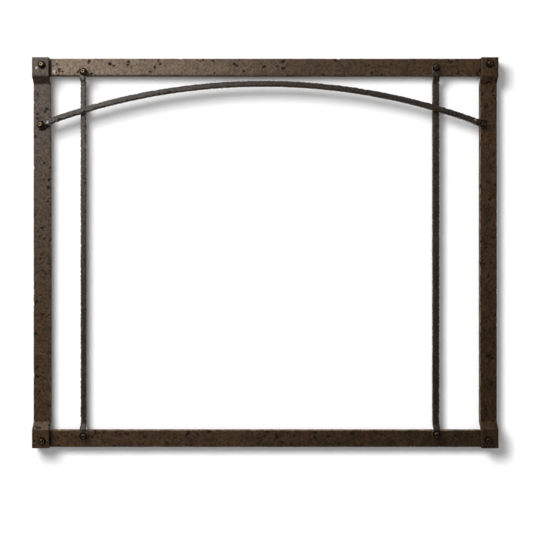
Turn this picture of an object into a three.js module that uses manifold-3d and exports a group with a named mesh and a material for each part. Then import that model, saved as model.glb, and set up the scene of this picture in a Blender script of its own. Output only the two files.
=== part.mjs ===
// Fireplace screen: an open forged-steel frame with two uprights and an arched bar.
// The stiles are joggled forward at both ends and lap over the rails. The uprights lie
// in the plane of the frame and their flattened ends lap over the rails. The arched bar
// lies across the stiles and the uprights. A button-head screw with a flat washer holds
// each lap, in a threaded hole in the bar behind.
// Millimetres. X runs right, Y runs back, Z runs up from the bottom edge.
import * as THREE from 'three';
import { mergeVertices } from 'three/addons/utils/BufferGeometryUtils.js';
import Module from 'manifold-3d';

const wasm = await Module();
wasm.setup();

// Driving dimensions
const frameWidth = 978;
const frameHeight = 820;
const flatWidth = 36.5;
const flatThickness = 8;
const cornerRadius = 1.5;
const seatGap = 0.1;
const joggleRun = 17;
const bendEase = 4;
const seatEase = 1.5;
const bendShift = 1.7;
const railClearance = 1.7;

// Uprights: slim bar with flattened round tips. Each bar lies a little to one side of its
// screws.
const tipThickness = 4.9;
const tipRadius = 8.5;
const tipShoulder = 0.5;
const tipMargin = 1;
const neckLength = 17;
const tipRun = 13;
const leftUpright = {
  name: 'left_upright', x: -384, width: 12.5, screwX: -381.5, low: 25.2, high: 789.8,
};
const rightUpright = {
  name: 'right_upright', x: 360.5, width: 15, screwX: 359, low: 28.6, high: 799.2,
};

// Arched bar: one arc that passes through the screws at its two ends
const archRadius = 1310;
const archCrownX = -4.4;
const archCrownZ = 764.7;
const archWidth = 12.5;
const archDepth = 8;
const archLeftX = -471;
const archRightX = 457.5;
const archTipLength = 9.5;
const archShoulderRun = 8.5;
const archEase = 2;

// Fasteners: quarter-inch button-head screws and flat washers
const screwRadius = 3.175;
const headRadius = 5.55;
const headHeight = 3.35;
const headRim = 0.6;
const headFlatRadius = 3.1;
const socketAcross = 4;
const socketDepth = 2.1;
const hexagonSides = 6;
const washerRadius = 7.95;
const washerThickness = 1.6;
const clearanceHoleRadius = 3.6;
const threadedHoleRadius = 3.3;
const screwRecess = 0.5;
const shankChamfer = 0.5;
const washerEase = 0.4;

// How finely curves are divided
const roundSegments = 20;
const curveSteps = 8;
const bendSteps = 4;
const archSteps = 44;
const domeSteps = 4;
const mergeTolerance = 1e-4;

// Distances forward of the back face
const lapBack = flatThickness + seatGap;
const stileEndFront = lapBack + flatThickness;
const tipFront = lapBack + tipThickness;
const archFront = lapBack + archDepth;
const cornerHeadFront = stileEndFront + 2 * seatGap + washerThickness + headHeight;
const backY = cornerHeadFront / 2;
const archCentreZ = archCrownZ - archRadius;
const railTopZ = frameHeight - flatWidth;
const cutReach = 2 * frameWidth;
const stileCentreX = (frameWidth - flatWidth) / 2;

// Colours of the finishes
const patina = { color: 0x4a3f35, roughness: 0.55, metalness: 0.8 };
const charcoal = { color: 0x3a3631, roughness: 0.6, metalness: 0.8 };
const agedBrass = { color: 0x9c8050, roughness: 0.4, metalness: 0.9 };
const blackened = { color: 0x2a2620, roughness: 0.6, metalness: 0.8 };

// A closed geometry as a solid: position only, shared corners merged, no empty triangles.
function solid(geometry) {
  const bare = geometry.clone();
  bare.deleteAttribute('normal');
  bare.deleteAttribute('uv');
  const merged = mergeVertices(bare, mergeTolerance);
  const index = Array.from(merged.index.array);
  const kept = [];
  for (let i = 0; i < index.length; i += 3) {
    const [a, b, c] = index.slice(i, i + 3);
    if (a !== b && b !== c && c !== a) {
      kept.push(a, b, c);
    }
  }
  const vertProperties = new Float32Array(merged.attributes.position.array);
  const triVerts = new Uint32Array(kept);
  return new wasm.Manifold(new wasm.Mesh({ numProp: 3, vertProperties, triVerts }));
}

// A solid back as a three.js geometry.
function geometryOf(body) {
  const mesh = body.getMesh();
  const geometry = new THREE.BufferGeometry();
  geometry.setAttribute('position', new THREE.BufferAttribute(mesh.vertProperties, 3));
  geometry.setIndex(new THREE.BufferAttribute(mesh.triVerts, 1));
  geometry.computeVertexNormals();
  return geometry;
}

function namedMesh(name, geometry, finish) {
  const mesh = new THREE.Mesh(geometry, new THREE.MeshStandardMaterial(finish));
  mesh.name = name;
  return mesh;
}

// A closed outline through corners [x, y, ease]. A corner with an ease is rounded over
// that distance along each side.
function outline(corners) {
  const shape = new THREE.Shape();
  const count = corners.length;
  corners.forEach(([x, y, ease = 0], i) => {
    const corner = new THREE.Vector2(x, y);
    const before = new THREE.Vector2(...corners[(i + count - 1) % count]);
    const after = new THREE.Vector2(...corners[(i + 1) % count]);
    const start = before.sub(corner).setLength(ease).add(corner);
    const end = after.sub(corner).setLength(ease).add(corner);
    if (i === 0) {
      shape.moveTo(start.x, start.y);
    } else {
      shape.lineTo(start.x, start.y);
    }
    if (ease > 0) {
      shape.quadraticCurveTo(corner.x, corner.y, end.x, end.y);
    }
  });
  shape.closePath();
  return shape;
}

function extrude(shape, depth, steps) {
  return new THREE.ExtrudeGeometry(shape, { depth, bevelEnabled: false, curveSegments: steps });
}

// An outline seen from the front (x, z), extruded forward between two distances.
function frontSolid(shape, from, to, steps = curveSteps) {
  const geometry = extrude(shape, to - from, steps);
  geometry.rotateX(Math.PI / 2);
  geometry.translate(0, backY - from, 0);
  return solid(geometry);
}

// A profile seen from the side (forward distance, z), extruded across x.
function sideSolid(shape, x, width) {
  const geometry = extrude(shape, width, bendSteps);
  const forward = new THREE.Vector3(0, -1, 0);
  const up = new THREE.Vector3(0, 0, 1);
  const left = new THREE.Vector3(-1, 0, 0);
  geometry.applyMatrix4(new THREE.Matrix4().makeBasis(forward, up, left));
  geometry.translate(x + width / 2, backY, 0);
  return solid(geometry);
}

// A profile seen from above (x, forward distance), extruded through the whole height.
function topSolid(shape) {
  const geometry = extrude(shape, frameHeight, bendSteps);
  const right = new THREE.Vector3(1, 0, 0);
  const forward = new THREE.Vector3(0, -1, 0);
  const down = new THREE.Vector3(0, 0, -1);
  geometry.applyMatrix4(new THREE.Matrix4().makeBasis(right, forward, down));
  geometry.translate(0, backY, frameHeight);
  return solid(geometry);
}

// A round drill through all depths at (x, z).
function drill(x, z, radius) {
  const geometry = new THREE.CylinderGeometry(radius, radius, cutReach, roundSegments);
  geometry.translate(x, 0, z);
  return solid(geometry);
}

// A bar's rounded tip on a front outline: an arc around (x, z), pointing along heading.
function roundTip(shape, x, z, heading) {
  const quarter = Math.PI / 2 + tipShoulder;
  shape.absarc(x, z, tipRadius, heading + quarter, heading - quarter, true);
}

function flatOutline(x0, x1, z0, z1) {
  const ease = cornerRadius;
  return outline([[x0, z0, ease], [x0, z1, ease], [x1, z1, ease], [x1, z0, ease]]);
}

// Where each screw stands, what it clamps and how far forward its washer sits.
const archZ = (x) => archCentreZ + Math.sqrt(archRadius ** 2 - (x - archCrownX) ** 2);
const fasteners = [
  { place: 'top_left_corner', x: -467.5, z: 803.3, seat: stileEndFront },
  { place: 'top_right_corner', x: 469.8, z: 805.2, seat: stileEndFront },
  { place: 'bottom_left_corner', x: -467.4, z: 16.2, seat: stileEndFront },
  { place: 'bottom_right_corner', x: 466.2, z: 17.9, seat: stileEndFront },
  { place: 'left_upright_top', x: leftUpright.screwX, z: leftUpright.high, seat: tipFront },
  { place: 'left_upright_bottom', x: leftUpright.screwX, z: leftUpright.low, seat: tipFront },
  { place: 'right_upright_top', x: rightUpright.screwX, z: rightUpright.high, seat: tipFront },
  { place: 'right_upright_bottom', x: rightUpright.screwX, z: rightUpright.low, seat: tipFront },
  { place: 'arch_left', x: archLeftX, z: archZ(archLeftX), seat: tipFront },
  { place: 'arch_right', x: archRightX, z: archZ(archRightX), seat: tipFront },
];

// Holes of one radius for the screws that pass the test.
function drills(radius, test) {
  return fasteners.filter(test).map(({ x, z }) => drill(x, z, radius));
}

function cut(body, tools) {
  return tools.reduce((rest, tool) => rest.subtract(tool), body);
}

// Stile: flat bar, joggled forward at both ends over the rails.
function makeStile(name, x) {
  const t = flatThickness;
  const low = flatWidth + railClearance;
  const high = railTopZ - railClearance;
  const profile = outline([
    [0, low + joggleRun, bendEase],
    [0, high - joggleRun, bendEase],
    [lapBack, high, seatEase],
    [lapBack, frameHeight],
    [lapBack + t, frameHeight],
    [lapBack + t, high - bendShift, bendEase],
    [t, high - joggleRun - bendShift, bendEase],
    [t, low + joggleRun + bendShift, bendEase],
    [lapBack + t, low + bendShift, bendEase],
    [lapBack + t, 0],
    [lapBack, 0],
    [lapBack, low, seatEase],
  ]);
  const half = flatWidth / 2;
  const front = frontSolid(flatOutline(x - half, x + half, 0, frameHeight), 0, stileEndFront);
  const body = front.intersect(sideSolid(profile, x, 2 * flatWidth));
  const onStile = (f) => Math.sign(f.x) === Math.sign(x);
  const corners = drills(clearanceHoleRadius, (f) => onStile(f) && f.place.includes('corner'));
  const archEnds = drills(threadedHoleRadius, (f) => onStile(f) && f.place.startsWith('arch'));
  return namedMesh(name, geometryOf(cut(body, [...corners, ...archEnds])), patina);
}

// Rail: straight flat bar behind the stiles' ends, with threaded holes.
function makeRail(name, z0) {
  const half = frameWidth / 2;
  const body = frontSolid(flatOutline(-half, half, z0, z0 + flatWidth), 0, flatThickness);
  const holes = drills(threadedHoleRadius, (f) => f.z > z0 && f.z < z0 + flatWidth);
  return namedMesh(name, geometryOf(cut(body, holes)), patina);
}

// Upright: bar in the plane of the frame, its flattened tips set forward on to the rails.
function makeUpright({ name, x, width, screwX, low, high }) {
  const half = width / 2;
  const shape = new THREE.Shape();
  shape.moveTo(x - half, low + neckLength);
  shape.lineTo(x - half, high - neckLength);
  roundTip(shape, screwX, high, Math.PI / 2);
  shape.lineTo(x + half, high - neckLength);
  shape.lineTo(x + half, low + neckLength);
  roundTip(shape, screwX, low, -Math.PI / 2);
  shape.closePath();
  const t = flatThickness;
  const bendLow = flatWidth + railClearance;
  const bendHigh = railTopZ - railClearance;
  const tipLow = low - tipRadius - tipMargin;
  const tipHigh = high + tipRadius + tipMargin;
  const profile = outline([
    [0, bendLow + tipRun, bendEase],
    [0, bendHigh - tipRun, bendEase],
    [lapBack, bendHigh, seatEase],
    [lapBack, tipHigh],
    [tipFront, tipHigh],
    [tipFront, bendHigh - bendShift, bendEase],
    [t, bendHigh - tipRun - bendShift, bendEase],
    [t, bendLow + tipRun + bendShift, bendEase],
    [tipFront, bendLow + bendShift, bendEase],
    [tipFront, tipLow],
    [lapBack, tipLow],
    [lapBack, bendLow, seatEase],
  ]);
  const front = frontSolid(shape, 0, tipFront);
  const body = front.intersect(sideSolid(profile, x, 4 * tipRadius));
  const holes = drills(clearanceHoleRadius, (f) => f.place.startsWith(name));
  return namedMesh(name, geometryOf(cut(body, holes)), charcoal);
}

// Arched bar: an arc of slim bar with a flattened round tip at each end.
function makeArch() {
  const centreX = archCrownX;
  const half = archWidth / 2;
  const neckAngle = neckLength / archRadius;
  const angleAt = (x) => Math.atan2(archZ(x) - archCentreZ, x - centreX);
  const leftAngle = angleAt(archLeftX);
  const rightAngle = angleAt(archRightX);
  const start = leftAngle - neckAngle;
  const end = rightAngle + neckAngle;
  const shape = new THREE.Shape();
  shape.absarc(centreX, archCentreZ, archRadius + half, start, end, true);
  roundTip(shape, archRightX, archZ(archRightX), rightAngle - Math.PI / 2);
  shape.absarc(centreX, archCentreZ, archRadius - half, end, start, false);
  roundTip(shape, archLeftX, archZ(archLeftX), leftAngle + Math.PI / 2);
  shape.closePath();
  const left = archLeftX + archTipLength;
  const right = archRightX - archTipLength;
  const reach = frameWidth / 2;
  const profile = outline([
    [-reach, lapBack],
    [reach, lapBack],
    [reach, tipFront],
    [right, tipFront, archEase],
    [right - archShoulderRun, archFront, archEase],
    [left + archShoulderRun, archFront, archEase],
    [left, tipFront, archEase],
    [-reach, tipFront],
  ]);
  const body = frontSolid(shape, lapBack, archFront, archSteps).intersect(topSolid(profile));
  const holes = drills(clearanceHoleRadius, (f) => f.place.startsWith('arch'));
  return namedMesh('arch_bar', geometryOf(cut(body, holes)), charcoal);
}

// Screw: domed head with a hexagon socket, on a plain shank. Its own origin is under the
// head, on its axis.
function screwGeometry(shankLength) {
  const dome = [];
  for (let i = 0; i <= domeSteps; i += 1) {
    const turn = (i / domeSteps) * (Math.PI / 2);
    const radius = headFlatRadius + (headRadius - headFlatRadius) * Math.cos(turn);
    const height = headRim + (headHeight - headRim) * Math.sin(turn);
    dome.push(new THREE.Vector2(radius, height));
  }
  const profile = [
    new THREE.Vector2(0, -shankLength),
    new THREE.Vector2(screwRadius - shankChamfer, -shankLength),
    new THREE.Vector2(screwRadius, shankChamfer - shankLength),
    new THREE.Vector2(screwRadius, 0),
    new THREE.Vector2(headRadius, 0),
    ...dome,
    new THREE.Vector2(0, headHeight),
  ];
  const body = solid(new THREE.LatheGeometry(profile, roundSegments));
  const socketRadius = socketAcross / Math.sqrt(3);
  const socket = new THREE.CylinderGeometry(socketRadius, socketRadius, 2 * socketDepth, hexagonSides);
  socket.translate(0, headHeight, 0);
  const geometry = geometryOf(body.subtract(solid(socket)));
  geometry.rotateX(Math.PI);
  return geometry;
}

// Washer: a flat ring with its front edge eased. Its own origin is in its back face.
function washerGeometry() {
  const profile = [
    new THREE.Vector2(clearanceHoleRadius, 0),
    new THREE.Vector2(washerRadius, 0),
    new THREE.Vector2(washerRadius, washerThickness - washerEase),
    new THREE.Vector2(washerRadius - washerEase, washerThickness),
    new THREE.Vector2(clearanceHoleRadius, washerThickness),
    new THREE.Vector2(clearanceHoleRadius, 0),
  ];
  const geometry = geometryOf(solid(new THREE.LatheGeometry(profile, roundSegments)));
  geometry.rotateX(Math.PI);
  return geometry;
}

// One screw and its washer, standing forward of the lap that they clamp.
function makeFastener({ place, x, z, seat }) {
  const group = new THREE.Group();
  group.position.set(x, backY - seat - seatGap, z);
  const washer = namedMesh(`washer_${place}`, washerGeometry(), blackened);
  const underHead = washerThickness + seatGap;
  const shankLength = seat + seatGap + underHead - screwRecess;
  const screw = namedMesh(`screw_${place}`, screwGeometry(shankLength), agedBrass);
  screw.position.y = -underHead;
  group.add(washer, screw);
  return group;
}

const fireplaceScreen = new THREE.Group();
fireplaceScreen.add(makeStile('left_stile', -stileCentreX), makeStile('right_stile', stileCentreX));
fireplaceScreen.add(makeRail('top_rail', railTopZ), makeRail('bottom_rail', 0));
fireplaceScreen.add(makeUpright(leftUpright), makeUpright(rightUpright), makeArch());
fasteners.forEach((fastener) => fireplaceScreen.add(makeFastener(fastener)));

export default fireplaceScreen;
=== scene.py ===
"""A forged fireplace screen: a hammered flat-bar frame, two slim uprights and an arched bar.

Every bar is drawn out of a plain blank, bent, flattened, drilled and hammered here, and each
lap is held by a brass button-head screw on a blackened washer. Lengths are in metres.
"""
import math
import random

import bmesh
import bpy
import numpy as np
from mathutils import Matrix, Vector


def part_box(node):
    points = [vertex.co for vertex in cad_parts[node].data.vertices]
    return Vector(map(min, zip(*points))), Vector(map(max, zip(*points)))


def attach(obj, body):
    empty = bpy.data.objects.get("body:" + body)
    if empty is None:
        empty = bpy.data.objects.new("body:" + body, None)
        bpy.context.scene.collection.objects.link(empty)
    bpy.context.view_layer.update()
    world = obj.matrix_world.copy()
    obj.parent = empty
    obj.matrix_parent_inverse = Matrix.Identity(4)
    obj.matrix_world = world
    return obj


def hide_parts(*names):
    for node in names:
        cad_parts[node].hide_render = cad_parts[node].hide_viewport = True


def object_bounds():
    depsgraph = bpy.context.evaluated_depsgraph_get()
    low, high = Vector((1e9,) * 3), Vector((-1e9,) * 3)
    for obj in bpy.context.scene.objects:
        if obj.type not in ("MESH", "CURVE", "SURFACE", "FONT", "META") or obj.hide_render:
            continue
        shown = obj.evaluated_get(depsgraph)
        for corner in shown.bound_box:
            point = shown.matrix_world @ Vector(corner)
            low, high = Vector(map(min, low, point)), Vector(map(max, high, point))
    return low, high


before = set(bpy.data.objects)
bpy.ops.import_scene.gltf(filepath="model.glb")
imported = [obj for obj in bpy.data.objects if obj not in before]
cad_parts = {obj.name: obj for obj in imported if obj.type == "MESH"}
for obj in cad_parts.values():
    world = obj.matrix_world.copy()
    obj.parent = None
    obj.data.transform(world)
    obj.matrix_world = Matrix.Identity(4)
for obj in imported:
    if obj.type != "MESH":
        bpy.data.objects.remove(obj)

bl_info = {
    "name": "Forged Fireplace Screen",
    "version": (1, 0, 0),
    "blender": (4, 5, 0),
    "location": "View3D > Sidebar > Screen",
    "description": "Forges the bars, screws and washers of a fireplace screen and sets its stage",
    "category": "Object",
}

CAD_LOW, CAD_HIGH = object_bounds()

MM = 0.001
TINY = 0.01 * MM
BACK = Vector((0, 1, 0))
FRONT = Vector((0, -1, 0))
UP = Vector((0, 0, 1))

# The frame's own sizes. "Forward" distances are measured from the back of the rails.
RAIL_LOW, RAIL_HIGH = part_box("bottom_rail")
BACK_Y = RAIL_HIGH.y
FLAT_WIDTH = RAIL_HIGH.z - RAIL_LOW.z
FLAT_THICKNESS = RAIL_HIGH.y - RAIL_LOW.y
FRAME_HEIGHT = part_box("top_rail")[1].z
ARCH_LOW, ARCH_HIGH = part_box("arch_bar")
LAP_BACK = BACK_Y - ARCH_HIGH.y
ARCH_FRONT = BACK_Y - ARCH_LOW.y
TIP_FRONT = BACK_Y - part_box("left_upright")[0].y
TIP_THICKNESS = TIP_FRONT - LAP_BACK

# Bends
CORNER_RADIUS = 1.5 * MM
JOGGLE_RUN = 17 * MM
BEND_SHARE = 0.16
JOGGLE_STEPS = 14
RAIL_CLEARANCE = 1.7 * MM
BENDS = (
    (FLAT_WIDTH + RAIL_CLEARANCE, 1),
    (FRAME_HEIGHT - FLAT_WIDTH - RAIL_CLEARANCE, -1),
)

# Width of the rubbed or darker band along a bar's edges
RIM = 2.6 * MM

# The band is this much narrower on the stiles' forward ends
FORWARD_NARROWING = 1.6 * MM

# Pits: the share of them along a bar's edges, their radii, and the radius from which a pit has
# its full depth
EDGE_PIT_SHARE = 0.28
FLAT_PIT_RADII = (1.5 * MM, 3.8 * MM)
SLIM_PIT_RADII = (1.0 * MM, 1.8 * MM)
FULL_DEPTH_RADIUS = 2.2 * MM

# Pits of one cluster stand this share of the bar's length apart along it, and this far across it
CLUSTER_RUN = 0.009
CLUSTER_SPREAD = 6 * MM

# How many pits one cluster has, drawn evenly from a row
BUSY_CLUSTERS = (1, 1, 1, 2, 2, 3)
CALM_CLUSTERS = (1, 1, 2)

# Slim bars: radii of the notches along their edges, and face pits per metre
NOTCH_RADII = (2.0 * MM, 4.2 * MM)
UPRIGHT_PITS = {"front": 22, "back": 12}
ARCH_PITS = {"front": 16, "back": 10}

# Soot in a pit is full from this share of the way down the wall, and this much of it is gone
# from the floor
SOOT_REACH = 1 / 3
FLOOR_CLEARED = 0.55

# Painted glints: spots on the front faces painted pale as highlights: x, z and radius
GLINT_SPOTS = (
    (-384 * MM, 779 * MM, 4.5 * MM),
    (-457 * MM, 684 * MM, 3.5 * MM),
    (441 * MM, 688 * MM, 3 * MM),
    (-446 * MM, 792 * MM, 4 * MM),
    (-479 * MM, 797 * MM, 3 * MM),
)

# Patterns of the finishes
CLOUD_SIZE = 24 * MM
GRAIN_SIZE = 4.5 * MM
ARRIS_PATCH_SIZE = 9 * MM
TARNISH_SIZE = 2.5 * MM
SMUT_SIZE = 2 * MM
TOOTH_HEIGHT = 0.8 * MM

# Flattened tips of the slim bars
TIP_RADIUS = 8.5 * MM
TIP_RUN = 13 * MM
TIP_SHOULDER = 0.5  # angle from the screw's level to where the bar leaves the round tip
TIP_EASE = 0.9 * MM
NECK_LENGTH = 17 * MM
UPRIGHT_MIDDLES = {"left_upright": -384 * MM, "right_upright": 360.5 * MM}
UPRIGHT_HALVES = {"left_upright": 6.25 * MM, "right_upright": 7.5 * MM}

# The arch is one arc
ARCH_RADIUS = 1310 * MM
ARCH_CROWN_X = -4.4 * MM
ARCH_WIDTH = 12.5 * MM
ARCH_DEPTH = ARCH_FRONT - LAP_BACK
ARCH_CENTRE = Vector((ARCH_CROWN_X, 0, 764.7 * MM - ARCH_RADIUS))
ARCH_TIP_LENGTH = 9.5 * MM
ARCH_SHOULDER_RUN = 8.5 * MM

# Fasteners
SHANK_RADIUS = 3.175 * MM
HEAD_HEIGHT = 3.35 * MM
HEAD_RIM = 0.6 * MM
HEAD_FLAT_RADIUS = 3.1 * MM
SOCKET_ACROSS = 4 * MM
SOCKET_DEPTH = 2.1 * MM
HOLE_RADIUS = 3.6 * MM
THREADED_RADIUS = 3.3 * MM
SHANK_BLANK = 16 * MM
DOME_STEPS = 6
SCREW_EASE = 0.18 * MM
WASHER_EASE = 0.35 * MM

# Width of the wall and of the floor
STAGE_SIZE = 12

# Where the sheen light and the rear light come from
SHEEN_FROM = (-0.42, -1, 0.55)
REAR_FROM = (0.5, 1, 0.8)

PLACES = sorted(name[len("screw_"):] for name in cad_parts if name.startswith("screw_"))


def screw_point(place):
    """Middle of a screw, seen from the front."""
    low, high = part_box(f"screw_{place}")
    return (low + high) / 2


# ---------------------------------------------------------------- settings


def number_setting(name, description, default):
    """A plain number."""
    return bpy.props.FloatProperty(name=name, description=description, default=default)


def size_setting(name, description, default):
    """A size in metres."""
    return bpy.props.FloatProperty(
        name=name, description=description, default=default, unit="LENGTH",
    )


def angle_setting(name, description, default):
    """An angle."""
    return bpy.props.FloatProperty(
        name=name, description=description, default=default, subtype="ANGLE",
    )


def colour_setting(name, description, default):
    """A colour as hex text."""
    return bpy.props.StringProperty(name=name, description=description, default=default)


class ForgeSettings(bpy.types.PropertyGroup):
    """Sizes of the smith's work on the bars."""

    flat_voxel: size_setting("Flat bar grid", "Spacing of the points on a flat bar's surface", 1.2 * MM)
    slim_voxel: size_setting("Slim bar grid", "Spacing of the points on a slim bar's surface", 0.9 * MM)
    flat_arris: size_setting("Flat bar arris", "Width of the eased edges of the flat bars", 1.2 * MM)
    slim_arris: size_setting("Slim bar arris", "Width of the hammered edges of the slim bars", 1.9 * MM)
    wave_length: size_setting(
        "Hammer wave length", "Size of the shallow hollows that the hammer leaves", 26 * MM,
    )
    wave_depth: size_setting("Hammer wave depth", "Depth of the shallow hollows", 0.5 * MM)
    pit_depth: size_setting("Pit depth", "Depth of the deepest pits", 1.3 * MM)
    pits_per_metre: bpy.props.IntProperty(
        name="Pits per metre",
        description="How many pits a metre of flat bar has on one face",
        default=105,
    )
    notch_spacing: size_setting(
        "Notch spacing", "Mean distance between notches along a slim bar's edge", 7.5 * MM,
    )


class FinishSettings(bpy.types.PropertyGroup):
    """Colours of the finishes."""

    bronze_light: colour_setting("Bronze, rubbed", "Patina where the hand has rubbed it", "#442F17")
    # Painted highlight, partly rubbed patina: the pale colour laid on the rails' upper left
    bronze_rubbed_and_lit: colour_setting("Bronze, worn", "Patina at the rubbed end of the top rail", "#7C6851")
    bronze_dark: colour_setting("Bronze, deep", "Patina where it is thick", "#32200B")
    # Painted highlight, partly rubbed patina: the pale colour laid on the stiles' upper left
    bronze_handled_and_lit: colour_setting(
        "Bronze, handled", "Patina at the handled end of the left stile", "#4A3D2E",
    )
    charcoal: colour_setting("Charcoal", "Scale left on the slim bars", "#372C20")
    charcoal_dark: colour_setting("Charcoal, deep", "Thicker scale", "#241B12")
    # Painted highlight, partly rubbed scale: the pale colour laid on the slim bars' upper left
    charcoal_rubbed_and_lit: colour_setting(
        "Charcoal, rubbed", "Scale rubbed thin at the upper left", "#504A42",
    )
    # Painted light: a paler colour for the slim bars' side faces, where light grazes them
    charcoal_side_lit: colour_setting(
        "Charcoal, sides", "Browner metal on the sides of the slim bars", "#8A7464",
    )
    pit_colour: colour_setting("Pit bottom", "Wax and soot at the bottom of the pits", "#0F0B07")
    arris_colour: colour_setting("Rubbed arris", "Metal that shows along the edges", "#8A725A")
    # Painted highlight colour of the glint spots
    glint_colour: colour_setting("Bare metal", "Steel where the patina is worn through", "#D8CCB8")
    brass_colour: colour_setting("Aged brass", "The screws' metal", "#75634A")
    washer_colour: colour_setting("Blackened steel", "The washers' metal", "#1B1712")


class StageSettings(bpy.types.PropertyGroup):
    """Camera and light."""

    camera_distance: size_setting("Camera distance", "From the lens to the front of the rails", 1.1)
    camera_height: size_setting("Camera height", "Height of the lens above the bottom edge", 0.3812)
    camera_side: size_setting(
        "Camera side step", "Distance of the lens to the right of the middle", 0.0027,
    )
    lens: number_setting("Lens", "Focal length on a 36 mm sensor, in millimetres", 35.245)
    wall_gap: size_setting("Wall gap", "Distance between the frame's back and the wall", 2 * MM)
    floor_drop: size_setting("Floor drop", "Height of the frame's bottom edge above the floor", 0.3)
    key_strength: number_setting("Soft box", "Power of the soft box at the upper left, in watts", 6.4)
    key_size: size_setting("Soft box size", "Diameter of the soft box", 2.1)
    key_offset: size_setting(
        "Soft box offset", "How far the soft box stands to the left of the lens", 1.56,
    )
    key_rise: size_setting("Soft box rise", "How far the soft box stands above the lens", 1.62)
    sheen_strength: number_setting(
        "Sheen light", "Strength of the light that only waxed metal returns", 1.1,
    )
    sheen_size: angle_setting("Sheen light size", "Angle that the sheen light fills", math.radians(24))
    room_strength: number_setting("Room light", "Strength of the even light of a pale room", 0.385)
    mirrored_strength: number_setting(
        "Mirrored room light", "Strength of the room where polished metal mirrors it", 0.05,
    )
    rear_strength: number_setting(
        "Rear light", "Strength of the soft light on the back of the frame", 2.2,
    )
    rear_size: angle_setting("Rear light size", "Angle that the rear light fills", math.radians(44))


# ---------------------------------------------------------------- bench tools


def clear_bench():
    """Leave edit mode and put every piece down."""
    if bpy.context.object and bpy.context.object.mode != "OBJECT":
        bpy.ops.object.mode_set(mode="OBJECT")
    bpy.ops.object.select_all(action="DESELECT")


def take(piece):
    """Make one piece the only selected and active one."""
    clear_bench()
    piece.select_set(True)
    bpy.context.view_layer.objects.active = piece


def settle(name):
    """Name the new piece and put its place into its mesh."""
    piece = bpy.context.object
    piece.name = name
    piece.data.name = name
    bpy.ops.object.transform_apply(location=True, rotation=True, scale=True)
    return piece


def add_block(name, low, high):
    """A blank of bar between two corners."""
    clear_bench()
    middle = (Vector(low) + Vector(high)) / 2
    size = Vector(high) - Vector(low)
    bpy.ops.mesh.primitive_cube_add(size=1, location=middle, scale=size)
    return settle(name)


def add_disc(name, centre, radius, depth, corners=40):
    """A round blank whose axis runs front to back."""
    clear_bench()
    bpy.ops.mesh.primitive_cylinder_add(
        vertices=corners,
        radius=radius,
        depth=depth,
        location=centre,
        rotation=(math.radians(90), 0, 0),
    )
    return settle(name)


def pick(piece, kind, test):
    """In edit mode, select the vertices, edges or faces that pass a test."""
    bpy.ops.mesh.select_mode(type={"verts": "VERT", "edges": "EDGE", "faces": "FACE"}[kind])
    bpy.ops.mesh.select_all(action="DESELECT")
    mesh = bmesh.from_edit_mesh(piece.data)
    found = [item for item in getattr(mesh, kind) if test(item)]
    for item in found:
        item.select_set(True)
    mesh.select_flush_mode()
    bmesh.update_edit_mesh(piece.data)
    return len(found)


def edit(piece):
    """Take a piece into edit mode."""
    take(piece)
    bpy.ops.object.mode_set(mode="EDIT")


def slice_at(place, normal, **keep):
    """Cut through the whole edited mesh with a plane."""
    bpy.ops.mesh.select_mode(type="VERT")
    bpy.ops.mesh.select_all(action="SELECT")
    bpy.ops.mesh.bisect(plane_co=place, plane_no=normal, **keep)


def use_modifier(piece, kind, **settings):
    """Add a modifier with its settings and apply it."""
    take(piece)
    modifier = piece.modifiers.new(kind.title(), kind)
    for key, value in settings.items():
        setattr(modifier, key, value)
    bpy.ops.object.modifier_apply(modifier=modifier.name)


def forge_weld(pieces):
    """Join blanks into the first one."""
    clear_bench()
    for piece in pieces:
        piece.select_set(True)
    bpy.context.view_layer.objects.active = pieces[0]
    bpy.ops.object.join()
    return pieces[0]


def drill(piece, place, radius):
    """Drill a hole right through a piece at a screw's place."""
    point = screw_point(place)
    point.y = 0
    bit = add_disc("drill_bit", point, radius, 4 * (CAD_HIGH.y - CAD_LOW.y), corners=32)
    use_modifier(piece, "BOOLEAN", object=bit, operation="DIFFERENCE", solver="MANIFOLD")
    bpy.data.objects.remove(bit)


def ease_edges(piece, width, segments, test=None, sharp=math.radians(50)):
    """Bevel the sharp edges that pass a test."""
    edit(piece)

    def wanted(edge):
        is_sharp = len(edge.link_faces) == 2 and edge.calc_face_angle(0) > sharp
        return is_sharp and (test is None or test(edge))

    if pick(piece, "edges", wanted):
        bpy.ops.mesh.bevel(offset=width, segments=segments, affect="EDGES")
    bpy.ops.object.mode_set(mode="OBJECT")


def middle_of(edge):
    """Middle of an edge."""
    return (edge.verts[0].co + edge.verts[1].co) / 2


def runs_along(edge, direction):
    """True where an edge is parallel to a direction."""
    run = (edge.verts[1].co - edge.verts[0].co).normalized()
    return abs(run.dot(direction)) > 0.99


def draw_bar(name, low, high, arris):
    """A straight bar with rounded corners and eased arrises."""
    bar = add_block(name, low, high)
    ease_edges(bar, CORNER_RADIUS, 3, lambda e: runs_along(e, FRONT))
    ease_edges(bar, arris, 3)
    return bar


# ---------------------------------------------------------------- hammering


def surface_of(piece):
    """Points and outward normals of a piece, as arrays."""
    count = len(piece.data.vertices)
    points = np.empty(count * 3)
    normals = np.empty(count * 3)
    piece.data.vertices.foreach_get("co", points)
    piece.data.vertices.foreach_get("normal", normals)
    return points.reshape(-1, 3), normals.reshape(-1, 3)


def write_attribute(piece, name, values):
    """Store one number per point for the finish to read."""
    attribute = piece.data.attributes.new(name, "FLOAT", "POINT")
    attribute.data.foreach_set("value", values)


def write_weights(piece, name, values):
    """Store one weight per point for a modifier to read."""
    group = piece.vertex_groups.new(name=name)
    for index in np.flatnonzero(values > 0.002):
        group.add([int(index)], float(values[index]), "REPLACE")


def smooth_step(value):
    """A soft ramp from 0 to 1."""
    value = np.clip(value, 0, 1)
    return value * value * (3 - 2 * value)


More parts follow.
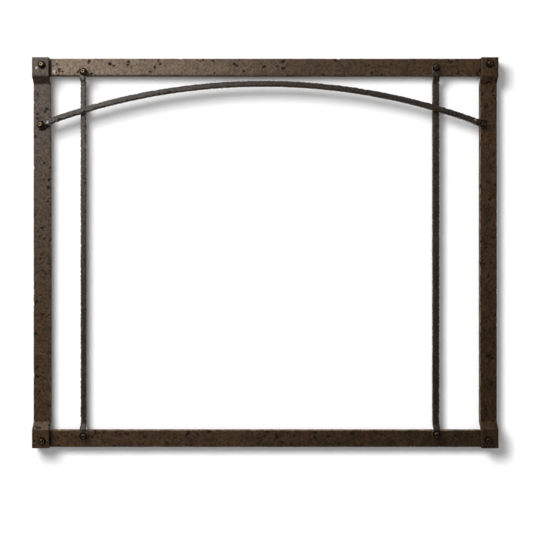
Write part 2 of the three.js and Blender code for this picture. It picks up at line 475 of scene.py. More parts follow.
def pit_bowl(points, pit):
    """How far each point lies inside one pit, 0 at its rim and 1 on its floor."""
    across = points[:, 0] - pit["x"]
    up = points[:, 2] - pit["z"]
    turn = np.arctan2(up, across)
    lobes = 1 + 0.24 * np.sin(2 * turn + pit["phase"]) + 0.13 * np.sin(3 * turn + 2 * pit["phase"])
    inside = 1 - np.hypot(across, up) / (pit["radius"] * lobes)
    return smooth_step(inside / pit["wall"])


def sink_pits(points, pits):
    """Depth and soot of a set of pits. Soot gathers on the walls more than on the floors."""
    depth = np.zeros(len(points))
    soot = np.zeros(len(points))
    for pit in pits:
        bowl = pit_bowl(points, pit)
        depth = np.maximum(depth, bowl * pit["depth"])
        ring = np.minimum(bowl / SOOT_REACH, 1) * (1 - FLOOR_CLEARED * bowl ** 2)
        soot = np.maximum(soot, ring * min(1, pit["depth"] + 0.25))
    return depth, soot


def scatter_pits(rng, strip, width, count, radii, clusters):
    """Random pits on a strip, many of them along its edges."""
    pits = []
    while len(pits) < count:
        s = rng.random()
        t = rng.uniform(-0.5, 0.5) * width
        if rng.random() < EDGE_PIT_SHARE:
            t = math.copysign(width / 2 - rng.uniform(-0.3, 2.5) * MM, t)
        group = rng.choice(clusters)
        for _ in range(group):
            x, z = strip(s, t)
            radius = rng.uniform(*radii) * rng.uniform(0.8, 1.1)
            pits.append({
                "x": x,
                "z": z,
                "radius": radius,
                "depth": rng.uniform(0.5, 1.0) * min(1, radius / FULL_DEPTH_RADIUS),
                "wall": rng.uniform(0.55, 0.95),
                "phase": rng.uniform(0, math.tau),
            })
            s += rng.uniform(-1, 1) * CLUSTER_RUN
            t += rng.uniform(-1, 1) * CLUSTER_SPREAD
            t = max(-width / 2, min(width / 2, t))
    return pits


def hammer(piece, front_pits, back_pits, inset):
    """Pit and wave a piece's surface, inwards only, and record what the finish needs.

    inset gives how far each point lies in from the bar's edges.
    """
    forge = bpy.context.scene.forge_settings
    points, normals = surface_of(piece)
    front_depth, front_soot = sink_pits(points, front_pits)
    back_depth, back_soot = sink_pits(points, back_pits)
    facing = normals[:, 1] < 0.5
    depth = np.where(facing, front_depth, back_depth)
    # Painted glints: the front faces are painted pale around each spot, as highlights
    worn = np.zeros(len(points))
    for x, z, radius in GLINT_SPOTS:
        reach = np.hypot(points[:, 0] - x, points[:, 2] - z) / radius
        worn = np.maximum(worn, smooth_step(1.4 - reach) * (normals[:, 1] < -0.2))
    write_attribute(piece, "pit", np.where(facing, front_soot, back_soot))
    write_attribute(piece, "worn", worn)
    write_attribute(piece, "arris", smooth_step(1 - inset(points) / RIM))
    write_attribute(piece, "side", smooth_step((0.7 - np.abs(normals[:, 1])) / 0.5))
    write_weights(piece, "pits", depth)
    use_modifier(
        piece,
        "DISPLACE",
        vertex_group="pits",
        direction="NORMAL",
        mid_level=0,
        strength=-forge.pit_depth,
    )
    waves = bpy.data.textures.new("hammer_waves", "CLOUDS")
    waves.noise_scale = forge.wave_length
    waves.noise_depth = 2
    use_modifier(
        piece,
        "DISPLACE",
        texture=waves,
        texture_coords="LOCAL",
        direction="NORMAL",
        mid_level=0,
        strength=-forge.wave_depth,
    )
    piece.vertex_groups.clear()
    take(piece)
    bpy.ops.object.shade_smooth()


def even_out(piece, voxel):
    """Give a welded blank one even skin of small faces."""
    use_modifier(piece, "REMESH", mode="VOXEL", voxel_size=voxel, adaptivity=0, use_smooth_shade=True)


# ---------------------------------------------------------------- finishes


def colour(text):
    """An sRGB hex colour as linear red, green, blue and alpha."""
    channels = [int(text[i:i + 2], 16) / 255 for i in (1, 3, 5)]
    linear = [c / 12.92 if c <= 0.04045 else ((c + 0.055) / 1.055) ** 2.4 for c in channels]
    return (*linear, 1.0)


MIX_A, MIX_B, MIX_COLOUR = 6, 7, 2


def set_inputs(tree, node, inputs):
    """Set or link some inputs of a node."""
    for key, value in inputs.items():
        if isinstance(value, bpy.types.NodeSocket):
            tree.links.new(value, node.inputs[key])
        else:
            node.inputs[key].default_value = value


def add_node(tree, kind, inputs=None, **settings):
    """Add a node with its settings and its inputs."""
    made = tree.nodes.new(kind)
    for key, value in settings.items():
        setattr(made, key, value)
    set_inputs(tree, made, inputs or {})
    return made


def cloudy(tree, place, size, detail, roughness=0.5):
    """A cloudy pattern that stays fixed to its piece."""
    return add_node(tree, "ShaderNodeTexNoise", {
        "Vector": place, "Scale": 1 / size, "Detail": detail, "Roughness": roughness,
    }).outputs["Fac"]


def ramp(tree, value, low, high, to_low=0.0, to_high=1.0):
    """A value carried from one range into another, and kept inside it."""
    return add_node(tree, "ShaderNodeMapRange", {
        "Value": value, "From Min": low, "From Max": high, "To Min": to_low, "To Max": to_high,
    }).outputs[0]


def blend(tree, share, under, over, how="MIX"):
    """One colour laid over another."""
    return add_node(tree, "ShaderNodeMix", {
        0: share, MIX_A: under, MIX_B: over,
    }, data_type="RGBA", blend_type=how).outputs[MIX_COLOUR]


def combine(tree, first, second, how="MULTIPLY"):
    """Two values made into one."""
    return add_node(tree, "ShaderNodeMath", {0: first, 1: second}, operation=how).outputs[0]


def stored(tree, name):
    """A number that the hammering has left on the points."""
    return add_node(tree, "ShaderNodeAttribute", attribute_name=name).outputs["Fac"]


def new_finish(name):
    """An empty material with its node tree and shader."""
    material = bpy.data.materials.new(name)
    material.use_nodes = True
    tree = material.node_tree
    tree.nodes.clear()
    shader = add_node(tree, "ShaderNodeBsdfPrincipled")
    add_node(tree, "ShaderNodeOutputMaterial", {"Surface": shader.outputs[0]})
    return material, tree, shader


def patina(name, colours, arris_share, side_shading_share, wax_share, upper_left_light_gain):
    """Hammered steel under a waxed, hand-rubbed patina.

    It gives the eye a soft mottle, a fine grain, paler metal towards the upper left (partly rubbed
    patina, partly painted light), a dark ring in each pit, a line of its own along the arrises,
    painted shade or painted light on the sides and painted glints.
    """
    light, dark, rubbed, arris, side = (colour(text) for text in colours)
    finish = bpy.context.scene.finish_settings
    material, tree, shader = new_finish(name)
    place = add_node(tree, "ShaderNodeTexCoord").outputs["Object"]
    # Clouds of thicker and thinner patina
    clouds = cloudy(tree, place, CLOUD_SIZE, 5.0, 0.65)
    tone = blend(tree, ramp(tree, clouds, 0.3, 0.7), dark, light)
    # Painted light and shade, partly rubbed patina: the upper left is painted paler and the lower right
    # darker, as the light from the upper left falls
    corner = add_node(tree, "ShaderNodeVectorMath", {
        0: place, 1: (-1.0, 0.0, 1.0),
    }, operation="DOT_PRODUCT").outputs["Value"]
    handled = ramp(tree, corner, -0.4, 0.4, 0.82, upper_left_light_gain)
    tone = blend(tree, 1.0, tone, handled, "MULTIPLY")
    # Painted highlight, partly rubbed patina: a pale colour is laid on at the very upper left
    tone = blend(tree, ramp(tree, corner, 0.72, 1.3), tone, rubbed)
    # Grain of the scale under the patina
    grain = cloudy(tree, place, GRAIN_SIZE, 3.0, 0.7)
    grain_tone = ramp(tree, grain, 0.36, 0.64, 0.5, 1.5)
    tone = blend(tree, 1.0, tone, grain_tone, "MULTIPLY")
    # Arrises are rubbed in patches
    patches = cloudy(tree, place, ARRIS_PATCH_SIZE, 2.0)
    arris_worn = ramp(tree, patches, 0.4, 0.6, 0.0, arris_share)
    tone = blend(tree, combine(tree, stored(tree, "arris"), arris_worn), tone, arris)
    # Painted shade and painted light on the side faces: near-black on the flat bars, pale brown on the
    # slim bars
    sides = combine(tree, stored(tree, "side"), side_shading_share)
    tone = blend(tree, sides, tone, side)
    pits = ramp(tree, stored(tree, "pit"), 0.0, 0.7, 0.0, 0.95)
    tone = blend(tree, pits, tone, colour(finish.pit_colour))
    # Painted glints: pale highlight spots with a ragged outline
    ragged = ramp(tree, grain, 0.44, 0.58, 0.3, 1.0)
    painted_glint = combine(tree, stored(tree, "worn"), ragged)
    tone = blend(tree, painted_glint, tone, colour(finish.glint_colour))
    # Wax lies unevenly on the faces, thins out to the lower right and is missing in the pits' soot and
    # on the side faces with their painted shade or painted light
    wax_patches = ramp(tree, grain, 0.36, 0.64, 0.45 * wax_share, wax_share)
    wax_left = combine(tree, wax_patches, ramp(tree, corner, -0.4, 0.2, 0.6, 1.0))
    soot = combine(tree, pits, sides, "MAXIMUM")
    tooth = add_node(tree, "ShaderNodeBump", {
        "Height": grain, "Strength": 0.8, "Distance": TOOTH_HEIGHT,
    }).outputs[0]
    set_inputs(tree, shader, {
        "Base Color": tone,
        "Metallic": 0.5,
        "Roughness": ramp(tree, grain, 0.3, 0.7, 0.5, 0.62),
        "Normal": tooth,
        "Coat Weight": ramp(tree, soot, 0.0, 1.0, wax_left, 0.06),
        "Coat Roughness": 0.45,
        "Coat Normal": tooth,
    })
    return material


def rail_bronze():
    """The rails' finish. It gives the eye a pale tan at the upper left end and deep brown at the other,
    partly rubbed patina and partly painted light and shade.
    """
    finish = bpy.context.scene.finish_settings
    colours = (finish.bronze_light, finish.bronze_dark, finish.bronze_rubbed_and_lit,
               finish.arris_colour, finish.pit_colour)
    return patina("rubbed_bronze_patina", colours,
                  arris_share=0.8, side_shading_share=0.8, wax_share=1.0, upper_left_light_gain=1.55)


def stile_bronze():
    """The stiles' finish. It gives the eye the same patina, with a weaker paler upper left that is
    partly painted light.
    """
    finish = bpy.context.scene.finish_settings
    colours = (finish.bronze_light, finish.bronze_dark, finish.bronze_handled_and_lit,
               finish.arris_colour, finish.pit_colour)
    return patina("deep_bronze_patina", colours,
                  arris_share=0.95, side_shading_share=0.8, wax_share=0.8, upper_left_light_gain=1.45)


def scaled_steel():
    """The slim bars' finish. It gives the eye charcoal, darker in patches along the arrises, a paler
    upper left that is partly painted light, and side faces painted paler as painted light.
    """
    finish = bpy.context.scene.finish_settings
    colours = (finish.charcoal, finish.charcoal_dark, finish.charcoal_rubbed_and_lit,
               finish.pit_colour, finish.charcoal_side_lit)
    return patina("forge_scale_steel", colours,
                  arris_share=0.7, side_shading_share=0.9, wax_share=1.0, upper_left_light_gain=1.25)


def aged_brass():
    """Turned brass dulled by years.

    It gives the eye a warm yellow-brown dome, darker where tarnish has gathered.
    """
    finish = bpy.context.scene.finish_settings
    material, tree, shader = new_finish("aged_turned_brass")
    place = add_node(tree, "ShaderNodeTexCoord").outputs["Object"]
    tarnish = cloudy(tree, place, TARNISH_SIZE, 3.0)
    share = ramp(tree, tarnish, 0.4, 0.65, 0.0, 0.4)
    brass, dark = colour(finish.brass_colour), colour(finish.bronze_dark)
    set_inputs(tree, shader, {
        "Base Color": blend(tree, share, brass, dark),
        "Metallic": 1.0,
        "Roughness": ramp(tree, tarnish, 0.0, 1.0, 0.18, 0.38),
    })
    return material


def blackened_steel():
    """Stamped steel, oil-blackened.

    It gives the eye a near-black ring with a dull sheen.
    """
    finish = bpy.context.scene.finish_settings
    material, tree, shader = new_finish("oil_blackened_steel")
    place = add_node(tree, "ShaderNodeTexCoord").outputs["Object"]
    smut = cloudy(tree, place, SMUT_SIZE, 3.0)
    steel, black = colour(finish.washer_colour), colour(finish.pit_colour)
    set_inputs(tree, shader, {
        "Base Color": blend(tree, smut, steel, black),
        "Metallic": 0.8,
        "Roughness": ramp(tree, smut, 0.0, 1.0, 0.45, 0.65),
    })
    return material


def finish_piece(piece, material, node):
    """Give a finished piece its material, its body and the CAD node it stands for."""
    piece.data.materials.clear()
    piece.data.materials.append(material)
    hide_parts(node)
    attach(piece, "root")


def shared(name, make):
    """One material for all the pieces that share a finish."""
    return bpy.data.materials.get(name) or make()


# ---------------------------------------------------------------- flat bars


def flat_strip(low, high):
    """Turns a place along and across a flat bar into x and z."""
    middle = (low + high) / 2
    size = high - low
    if size.z > size.x:
        return lambda s, t: (middle.x + t, low.z + s * size.z)
    return lambda s, t: (low.x + s * size.x, middle.z + t)


def hammer_flat(piece, low, high, seed):
    """Hammer a flat bar that lies between two corners."""
    forge = bpy.context.scene.forge_settings
    size = high - low
    length = max(size.x, size.z)
    rng = random.Random(seed)
    strip = flat_strip(low, high)
    count = round(length * forge.pits_per_metre)
    front = scatter_pits(rng, strip, FLAT_WIDTH, count, FLAT_PIT_RADII, BUSY_CLUSTERS)
    back = scatter_pits(rng, strip, FLAT_WIDTH, count // 2, FLAT_PIT_RADII, CALM_CLUSTERS)
    across = 0 if size.z > size.x else 2
    middle = ((low + high) / 2)[across]

    def inset(points):
        set_forward = points[:, 1] < BACK_Y - FLAT_THICKNESS - MM
        return FLAT_WIDTH / 2 - np.abs(points[:, across] - middle) + FORWARD_NARROWING * set_forward

    hammer(piece, front, back, inset)


def eased_ramp(share):
    """A straight ramp from 0 to 1 with rounded bends at its foot and its head."""
    if share > 0.5:
        return 1 - eased_ramp(1 - share)
    slope = 1 / (1 - BEND_SHARE)
    if share < BEND_SHARE:
        return slope * share ** 2 / (2 * BEND_SHARE)
    return slope * (share - BEND_SHARE / 2)


def joggle_ends(piece, run, tip_thickness):
    """Set both ends of an upright bar forward to lap over the rails, and thin them."""
    edit(piece)
    thin = tip_thickness / FLAT_THICKNESS
    for end, sign in BENDS:
        levels = [end + sign * run * step / JOGGLE_STEPS for step in range(JOGGLE_STEPS + 1)]
        for level in levels:
            slice_at(Vector((0, 0, level)), UP)
        for step, level in enumerate(levels):
            rise = eased_ramp(1 - step / JOGGLE_STEPS)
            if step == 0:
                pick(piece, "verts", lambda v: (v.co.z - level) * sign < TINY)
            else:
                pick(piece, "verts", lambda v: abs(v.co.z - level) < TINY)
            bpy.ops.transform.translate(value=FRONT * LAP_BACK * rise)
            bpy.ops.transform.resize(
                value=(1, 1 + (thin - 1) * rise, 1),
                center_override=(0, BACK_Y - LAP_BACK * rise, 0),
            )
    bpy.ops.object.mode_set(mode="OBJECT")


def forge_stile(node, seed):
    """Flat bar, joggled forward at both ends to lap over the rails."""
    forge = bpy.context.scene.forge_settings
    low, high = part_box(node)
    blank = draw_bar(
        node + "_forged",
        (low.x, BACK_Y - FLAT_THICKNESS, low.z),
        (high.x, BACK_Y, high.z),
        forge.flat_arris,
    )
    joggle_ends(blank, JOGGLE_RUN, FLAT_THICKNESS)
    side = "left" if high.x < 0 else "right"
    for place in PLACES:
        if place.endswith(side + "_corner"):
            drill(blank, place, HOLE_RADIUS)
        if place == "arch_" + side:
            drill(blank, place, THREADED_RADIUS)
    even_out(blank, forge.flat_voxel)
    hammer_flat(blank, low, high, seed)
    finish_piece(blank, shared("deep_bronze_patina", stile_bronze), node)


def forge_rail(node, seed):
    """Straight flat bar that runs behind the stiles' ends."""
    forge = bpy.context.scene.forge_settings
    low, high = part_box(node)
    blank = draw_bar(node + "_forged", low, high, forge.flat_arris)
    for place in PLACES:
        if low.z < screw_point(place).z < high.z:
            drill(blank, place, THREADED_RADIUS)
    even_out(blank, forge.flat_voxel)
    hammer_flat(blank, low, high, seed)
    finish_piece(blank, shared("rubbed_bronze_patina", rail_bronze), node)


# ---------------------------------------------------------------- slim bars


def notch_edges(rng, strip, length, width, pits_per_metre):
    """Notches along both edges of a slim bar, and a few pits on its face."""
    forge = bpy.context.scene.forge_settings
    pits = []
    for side in (-1, 1):
        s = rng.uniform(0, forge.notch_spacing)
        while s < length:
            x, z = strip(s / length, side * (width / 2 + rng.uniform(-0.6, 0.9) * MM))
            pits.append({
                "x": x,
                "z": z,
                "radius": rng.uniform(*NOTCH_RADII),
                "depth": rng.uniform(0.35, 1.0),
                "wall": rng.uniform(0.6, 1.0),
                "phase": rng.uniform(0, math.tau),
            })
            s += forge.notch_spacing * rng.uniform(0.45, 1.6)
    count = round(length * pits_per_metre)
    pits += scatter_pits(rng, strip, width * 0.8, count, SLIM_PIT_RADII, CALM_CLUSTERS)
    return pits


def hammer_slim(piece, strip, length, width, face_pits, inset, seed):
    """Notch and hammer a slim bar on its front and on its back."""
    rng = random.Random(seed)
    front = notch_edges(rng, strip, length, width, face_pits["front"])
    back = notch_edges(rng, strip, length, width, face_pits["back"])
    hammer(piece, front, back, inset)


def tip_centre(point):
    """Middle of the flattened tip around a screw."""
    return Vector((point.x, BACK_Y - (LAP_BACK + TIP_FRONT) / 2, point.z))


def round_tip(point):
    """The blank of a flattened tip around a screw."""
    disc = add_disc("tip", tip_centre(point), TIP_RADIUS, TIP_THICKNESS)
    ease_edges(disc, TIP_EASE, 2)
    return disc


def forge_upright(node, seed):
    """Slim bar in the plane of the frame, its flattened round tips lapped on to the rails."""
    forge = bpy.context.scene.forge_settings
    bottom = screw_point(node + "_bottom")
    top = screw_point(node + "_top")
    half = UPRIGHT_HALVES[node]
    middle = UPRIGHT_MIDDLES[node]
    past_screw = TIP_RADIUS / 4
    low = Vector((middle - half, BACK_Y - FLAT_THICKNESS, bottom.z - past_screw))
    high = Vector((middle + half, BACK_Y, top.z + past_screw))
    blank = draw_bar(node + "_forged", low, high, forge.slim_arris)
    joggle_ends(blank, TIP_RUN, TIP_THICKNESS)
    edit(blank)
    shoulder = TIP_RADIUS * math.sin(TIP_SHOULDER)
    spread = TIP_RADIUS * math.cos(TIP_SHOULDER) / half
    for end, sign in ((bottom, 1), (top, -1)):
        slice_at(Vector((0, 0, end.z + sign * NECK_LENGTH)), UP)
        slice_at(Vector((0, 0, end.z + sign * shoulder)), UP)
        pick(blank, "verts", lambda v: (v.co.z - end.z) * sign < shoulder + TINY)
        bpy.ops.transform.translate(value=(end.x - middle, 0, 0))
        bpy.ops.transform.resize(value=(spread, 1, 1), center_override=(end.x, 0, end.z))
    bpy.ops.object.mode_set(mode="OBJECT")
    parts = [blank, round_tip(bottom), round_tip(top)]
    for part in parts:
        drill(part, node + "_bottom", HOLE_RADIUS)
        drill(part, node + "_top", HOLE_RADIUS)
    forge_weld(parts)
    even_out(blank, forge.slim_voxel)

    def inset(points):
        return half - np.abs(points[:, 0] - middle)

    strip = flat_strip(low, high)
    hammer_slim(blank, strip, high.z - low.z, 2 * half, UPRIGHT_PITS, inset, seed)
    finish_piece(blank, shared("forge_scale_steel", scaled_steel), node)


def arch_strip(start, end):
    """Turns a place along and across the arch into x and z. Angles run from left to right."""
    def place(s, t):
        angle = start + s * (end - start)
        reach = ARCH_RADIUS + t
        return (
            ARCH_CENTRE.x + reach * math.cos(angle),
            ARCH_CENTRE.z + reach * math.sin(angle),
        )

    return place


def forge_arch(node, seed):
    """Slim bar bent to one shallow arc, with a flattened round tip at each end."""
    forge = bpy.context.scene.forge_settings
    left = screw_point("arch_left")
    right = screw_point("arch_right")
    angles = [
        math.atan2(end.z - ARCH_CENTRE.z, end.x - ARCH_CENTRE.x) for end in (left, right)
    ]
    half = ARCH_WIDTH / 2
    middle_y = BACK_Y - (LAP_BACK + ARCH_FRONT) / 2
    # A section at the left screw is spun round to the right screw
    clear_bench()
    bpy.ops.mesh.primitive_plane_add(size=1)
    blank = bpy.context.object
    edit(blank)
    bpy.ops.transform.resize(value=(ARCH_WIDTH, ARCH_DEPTH, 1))
    bpy.ops.mesh.bevel(offset=forge.slim_arris, segments=2, affect="VERTICES")
    clear_bench()
    outward = Vector((math.cos(angles[0]), 0, math.sin(angles[0])))
    along = Vector((math.sin(angles[0]), 0, -math.cos(angles[0])))
    turn = Matrix((outward, BACK, along)).transposed()
    blank.matrix_world = Matrix.Translation((left.x, middle_y, left.z)) @ turn.to_4x4()
    take(blank)
    settle(node + "_forged")
    edit(blank)
    bpy.ops.mesh.select_all(action="SELECT")
    bpy.ops.mesh.spin(
        steps=160,
        angle=angles[1] - angles[0],
        center=ARCH_CENTRE,
        axis=BACK,
    )
    # The ends are cut on a slope where the bar steps down to its tips
    drop = ARCH_FRONT - TIP_FRONT
    for end, sign in ((left, 1), (right, -1)):
        foot = Vector((end.x + sign * ARCH_TIP_LENGTH, BACK_Y - TIP_FRONT, 0))
        away = Vector((-sign * drop, -ARCH_SHOULDER_RUN, 0)).normalized()
        slice_at(foot, away, clear_outer=True, use_fill=True)
    bpy.ops.mesh.select_all(action="SELECT")
    bpy.ops.mesh.normals_make_consistent(inside=False)
    bpy.ops.object.mode_set(mode="OBJECT")
    parts = [blank]
    for end, angle, sign in ((left, angles[0], -1), (right, angles[1], 1)):
        disc = round_tip(end)
        neck = add_block(
            "neck",
            (-half, -TIP_THICKNESS / 2, 0),
            (half, TIP_THICKNESS / 2, NECK_LENGTH + ARCH_SHOULDER_RUN),
        )
        edit(neck)
        pick(neck, "verts", lambda v: v.co.z < TINY)
        spread = TIP_RADIUS * math.cos(TIP_SHOULDER / 2) / half
        bpy.ops.transform.resize(value=(spread, 1, 1), center_override=(0, 0, 0))
        bpy.ops.object.mode_set(mode="OBJECT")
        ease_edges(neck, TIP_EASE, 2)
        outward = Vector((math.cos(angle), 0, math.sin(angle)))
        inward = Vector((math.sin(angle), 0, -math.cos(angle))) * -sign
        turn = Matrix((outward, BACK * sign, inward)).transposed()
        neck.matrix_world = Matrix.Translation(tip_centre(end)) @ turn.to_4x4()
        take(neck)
        settle("neck")
        parts += [disc, neck]
    for part in parts:
        drill(part, "arch_left", HOLE_RADIUS)
        drill(part, "arch_right", HOLE_RADIUS)
    forge_weld(parts)
    even_out(blank, forge.slim_voxel)

    def inset(points):
        reach = np.hypot(points[:, 0] - ARCH_CENTRE.x, points[:, 2] - ARCH_CENTRE.z)
        return half - np.abs(reach - ARCH_RADIUS)

    length = ARCH_RADIUS * (angles[0] - angles[1])
    hammer_slim(blank, arch_strip(*angles), length, ARCH_WIDTH, ARCH_PITS, inset, seed)
    finish_piece(blank, shared("forge_scale_steel", scaled_steel), node)


# ---------------------------------------------------------------- fasteners


def raise_ring(height, growth):
    """Extrude the selected cap forward and scale it about the axis."""
    bpy.ops.mesh.extrude_region_move(TRANSFORM_OT_translate={"value": FRONT * height})
    bpy.ops.transform.resize(value=(growth, 1, growth), center_override=(0, 0, 0))


def turn_screw():
    """One button-head screw on the y axis, its head's underside at y = 0.

    The shank starts longer than any screw needs, and each copy is set to its own length.
    """
    low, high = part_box(f"screw_{PLACES[0]}")
    head_radius = (high.x - low.x) / 2
    shank = add_disc("screw", (0, SHANK_BLANK / 2, 0), SHANK_RADIUS, SHANK_BLANK, corners=32)
    edit(shank)
    pick(shank, "faces", lambda f: f.normal.y < -0.99)
    raise_ring(0, head_radius / SHANK_RADIUS)
    raise_ring(HEAD_RIM, 1)
    radius, height = head_radius, HEAD_RIM
    for step in range(1, DOME_STEPS + 1):
        turn = step / DOME_STEPS * math.pi / 2
        next_radius = HEAD_FLAT_RADIUS + (head_radius - HEAD_FLAT_RADIUS) * math.cos(turn)
        next_height = HEAD_RIM + (HEAD_HEIGHT - HEAD_RIM) * math.sin(turn)
        raise_ring(next_height - height, next_radius / radius)
        radius, height = next_radius, next_height
    bpy.ops.object.mode_set(mode="OBJECT")
    socket = add_disc(
        "socket", (0, -HEAD_HEIGHT, 0), SOCKET_ACROSS / math.sqrt(3), 2 * SOCKET_DEPTH, corners=6,
    )
    use_modifier(shank, "BOOLEAN", object=socket, operation="DIFFERENCE", solver="MANIFOLD")
    bpy.data.objects.remove(socket)
    ease_edges(shank, SCREW_EASE, 2, lambda e: middle_of(e).y < -HEAD_RIM)
    return shank


def stamp_washer():
    """One flat washer on the y axis, its back face at y = 0."""
    low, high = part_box(f"washer_{PLACES[0]}")
    radius = (high.x - low.x) / 2
    thickness = high.y - low.y
    washer = add_disc("washer", (0, -thickness / 2, 0), radius, thickness, corners=48)
    edit(washer)
    pick(washer, "faces", lambda f: abs(f.normal.y) > 0.99)
    bpy.ops.mesh.inset(thickness=radius - HOLE_RADIUS, depth=0)
    bpy.ops.mesh.bridge_edge_loops()
    bpy.ops.mesh.select_all(action="SELECT")
    bpy.ops.mesh.normals_make_consistent(inside=False)
    bpy.ops.object.mode_set(mode="OBJECT")
    ease_edges(washer, WASHER_EASE, 3)
    return washer


def copy_to(master, name, offset):
    """A copy of a fastener with its own mesh, at its place."""
    take(master)
    bpy.ops.object.duplicate(linked=False)
    piece = bpy.context.object
    bpy.ops.transform.translate(value=offset)
    settle(name)
    bpy.ops.object.shade_smooth_by_angle(angle=math.radians(35))
    return piece


# ---------------------------------------------------------------- operators


class ForgeStiles(bpy.types.Operator):
    """Forge the two stiles"""

    bl_idname = "fireplace_screen.forge_stiles"
    bl_label = "Forge Stiles"

    def execute(self, context):
        forge_stile("left_stile", 11)
        forge_stile("right_stile", 12)
        return {"FINISHED"}


class ForgeRails(bpy.types.Operator):
    """Forge the two rails"""

    bl_idname = "fireplace_screen.forge_rails"
    bl_label = "Forge Rails"

    def execute(self, context):
        forge_rail("top_rail", 21)
        forge_rail("bottom_rail", 22)
        return {"FINISHED"}


class ForgeUprights(bpy.types.Operator):
    """Forge the two slim uprights"""

    bl_idname = "fireplace_screen.forge_uprights"
    bl_label = "Forge Uprights"

    def execute(self, context):
        forge_upright("left_upright", 31)
        forge_upright("right_upright", 32)
        return {"FINISHED"}


class ForgeArch(bpy.types.Operator):
    """Bend and forge the arched bar"""

    bl_idname = "fireplace_screen.forge_arch"
    bl_label = "Forge Arch"

    def execute(self, context):
        forge_arch("arch_bar", 41)
        return {"FINISHED"}


class FitWashers(bpy.types.Operator):
    """Stamp a washer for each lap"""

    bl_idname = "fireplace_screen.fit_washers"
    bl_label = "Fit Washers"

    def execute(self, context):
        master = stamp_washer()
        for place in PLACES:
            node = f"washer_{place}"
            low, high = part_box(node)
            offset = Vector(((low.x + high.x) / 2, high.y, (low.z + high.z) / 2))
            piece = copy_to(master, node + "_stamped", offset)
            finish_piece(piece, shared("oil_blackened_steel", blackened_steel), node)
        bpy.data.objects.remove(master)
        return {"FINISHED"}


class FitScrews(bpy.types.Operator):
    """Turn a screw for each lap"""

    bl_idname = "fireplace_screen.fit_screws"
    bl_label = "Fit Screws"

    def execute(self, context):
        master = turn_screw()
        for place in PLACES:
            node = f"screw_{place}"
            low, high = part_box(node)
            offset = Vector(((low.x + high.x) / 2, low.y + HEAD_HEIGHT, (low.z + high.z) / 2))
            piece = copy_to(master, node + "_turned", offset)
            edit(piece)
            end = max(v.co.y for v in bmesh.from_edit_mesh(piece.data).verts)
            pick(piece, "verts", lambda v: v.co.y > end - TINY)
            bpy.ops.transform.translate(value=BACK * (high.y - end))
            bpy.ops.object.mode_set(mode="OBJECT")
            finish_piece(piece, shared("aged_turned_brass", aged_brass), node)
        bpy.data.objects.remove(master)
        return {"FINISHED"}


class SetStage(bpy.types.Operator):
    """Set the wall, the floor, the lights and the camera"""

    bl_idname = "fireplace_screen.set_stage"
    bl_label = "Set Stage"

    def execute(self, context):
        stage = context.scene.stage_settings
        make_wall(stage)
        make_floor(stage)
        make_lights(stage)
        make_camera(stage)
        return {"FINISHED"}


def pale_paint():
    """Matt white paint for the wall. Seen from behind, the wall lets the eye through."""
    material = bpy.data.materials.new("matt_white_wall_paint")
    material.use_nodes = True
    tree = material.node_tree
    tree.nodes.clear()
    paint = add_node(tree, "ShaderNodeBsdfDiffuse", {"Color": (0.9, 0.9, 0.9, 1)})
    clear = add_node(tree, "ShaderNodeBsdfTransparent")
    side = add_node(tree, "ShaderNodeNewGeometry").outputs["Backfacing"]
    mix = add_node(tree, "ShaderNodeMixShader", {0: side, 1: paint.outputs[0], 2: clear.outputs[0]})
    add_node(tree, "ShaderNodeOutputMaterial", {"Surface": mix.outputs[0]})
    return material


def lens_plane(stage):
    """How far forward the lens stands, as a y."""
    return BACK_Y - FLAT_THICKNESS - stage.camera_distance


def make_wall(stage):
    """A pale wall close behind the frame."""
    clear_bench()
    bpy.ops.mesh.primitive_plane_add(
        size=STAGE_SIZE,
        location=(0, BACK_Y + stage.wall_gap, STAGE_SIZE / 2 - stage.floor_drop),
        rotation=(math.radians(90), 0, 0),
    )
    wall = settle("wall")
    wall.data.materials.append(pale_paint())
    wall.visible_shadow = False


def make_floor(stage):
    """A pale floor under the frame, from below the lens to well behind the wall."""
    clear_bench()
    middle = (0, lens_plane(stage) + STAGE_SIZE / 2, -stage.floor_drop)
    bpy.ops.mesh.primitive_plane_add(size=STAGE_SIZE, location=middle)
    floor = settle("floor")
    material = bpy.data.materials.new("matt_pale_floor_paint")
    material.use_nodes = True
    shader = material.node_tree.nodes["Principled BSDF"]
    shader.inputs["Base Color"].default_value = (0.95, 0.95, 0.95, 1)
    shader.inputs["Roughness"].default_value = 0.9
    floor.data.materials.append(material)
    floor.visible_diffuse = False
    floor.visible_glossy = False


def add_sun(name, direction, strength, size):
    """A distant soft light that comes from a direction."""
    lamp = bpy.data.lights.new(name, "SUN")
    lamp.energy = strength
    lamp.angle = size
    light = bpy.data.objects.new(name, lamp)
    light.rotation_euler = Vector(direction).to_track_quat("Z", "Y").to_euler()
    bpy.context.scene.collection.objects.link(light)
    return light


def add_soft_box(stage):
    """A round soft box at the upper left, parallel to the wall and as far from it as the lens.

    Its strength grows with the fourth power of distance, so it lights the whole wall evenly, and
    its shadows are as long on one side of the frame as on the other.
    """
    lamp = bpy.data.lights.new("soft_box", "AREA")
    lamp.shape = "DISK"
    lamp.size = stage.key_size
    lamp.energy = stage.key_strength
    lamp.use_nodes = True
    tree = lamp.node_tree
    tree.nodes.clear()
    near = add_node(tree, "ShaderNodeLightFalloff", {"Strength": 1.0})
    far = add_node(tree, "ShaderNodeLightFalloff", {"Strength": near.outputs["Constant"]})
    glow = add_node(tree, "ShaderNodeEmission", {"Strength": far.outputs["Constant"]})
    add_node(tree, "ShaderNodeOutputLight", {"Surface": glow.outputs[0]})
    light = bpy.data.objects.new("soft_box", lamp)
    light.location = (
        stage.camera_side - stage.key_offset,
        lens_plane(stage),
        stage.camera_height + stage.key_rise,
    )
    light.rotation_euler = (math.radians(90), 0, 0)
    light.visible_camera = False
    light.visible_glossy = False
    bpy.context.scene.collection.objects.link(light)


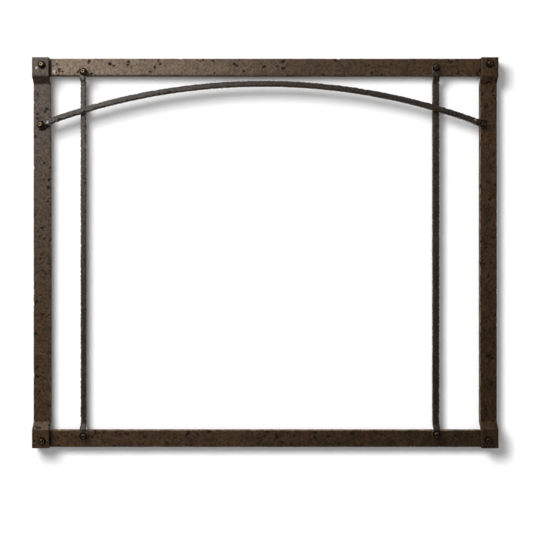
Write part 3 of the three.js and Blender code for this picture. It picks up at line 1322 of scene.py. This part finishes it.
def make_lights(stage):
    """A soft box, a light for the wax's sheen, a rear light and the room's light."""
    add_soft_box(stage)
    sheen = add_sun("sheen_light", SHEEN_FROM, stage.sheen_strength, stage.sheen_size)
    sheen.visible_diffuse = False
    add_sun("rear_light", REAR_FROM, stage.rear_strength, stage.rear_size)
    world = bpy.data.worlds.new("pale_room")
    bpy.context.scene.world = world
    world.use_nodes = True
    tree = world.node_tree
    tree.nodes.clear()
    path = add_node(tree, "ShaderNodeLightPath")
    # The room is lit evenly, but little of it stands where the bars would mirror it
    mirrored = path.outputs["Is Glossy Ray"]
    room = ramp(tree, mirrored, 0.0, 1.0, stage.room_strength, stage.mirrored_strength)
    strength = ramp(tree, path.outputs["Is Camera Ray"], 0.0, 1.0, room, 1.0)
    light = add_node(tree, "ShaderNodeBackground", {"Color": (1, 1, 1, 1), "Strength": strength})
    add_node(tree, "ShaderNodeOutputWorld", {"Surface": light.outputs[0]})
    bpy.context.scene.view_settings.view_transform = "Standard"


def make_camera(stage):
    """A level camera straight in front."""
    data = bpy.data.cameras.new("camera")
    data.lens = stage.lens
    camera = bpy.data.objects.new("camera", data)
    camera.location = (stage.camera_side, lens_plane(stage), stage.camera_height)
    camera.rotation_euler = (math.radians(90), 0, 0)
    bpy.context.scene.collection.objects.link(camera)
    bpy.context.scene.camera = camera


class ScreenPanel(bpy.types.Panel):
    """Lists the steps of making the screen"""

    bl_idname = "VIEW3D_PT_fireplace_screen"
    bl_label = "Fireplace Screen"
    bl_space_type = "VIEW_3D"
    bl_region_type = "UI"
    bl_category = "Screen"

    def draw(self, context):
        for step in STEPS:
            self.layout.operator(step.bl_idname)
        for group in ("forge_settings", "finish_settings", "stage_settings"):
            settings = getattr(context.scene, group)
            for name in settings.__annotations__:
                self.layout.prop(settings, name)


STEPS = (SetStage, ForgeRails, ForgeStiles, ForgeUprights, ForgeArch, FitWashers, FitScrews)
SETTINGS = {
    "forge_settings": ForgeSettings,
    "finish_settings": FinishSettings,
    "stage_settings": StageSettings,
}


def register():
    """Register the settings, the steps and the panel."""
    for name, group in SETTINGS.items():
        bpy.utils.register_class(group)
        setattr(bpy.types.Scene, name, bpy.props.PointerProperty(type=group))
    for step in (*STEPS, ScreenPanel):
        bpy.utils.register_class(step)


def unregister():
    """Undo register."""
    for step in reversed((*STEPS, ScreenPanel)):
        bpy.utils.unregister_class(step)
    for name, group in SETTINGS.items():
        delattr(bpy.types.Scene, name)
        bpy.utils.unregister_class(group)


def main():
    """Make the whole screen and its stage."""
    register()
    for step in STEPS:
        group, _, name = step.bl_idname.partition(".")
        getattr(getattr(bpy.ops, group), name)()
    clear_bench()


if __name__ == "__main__":
    main()
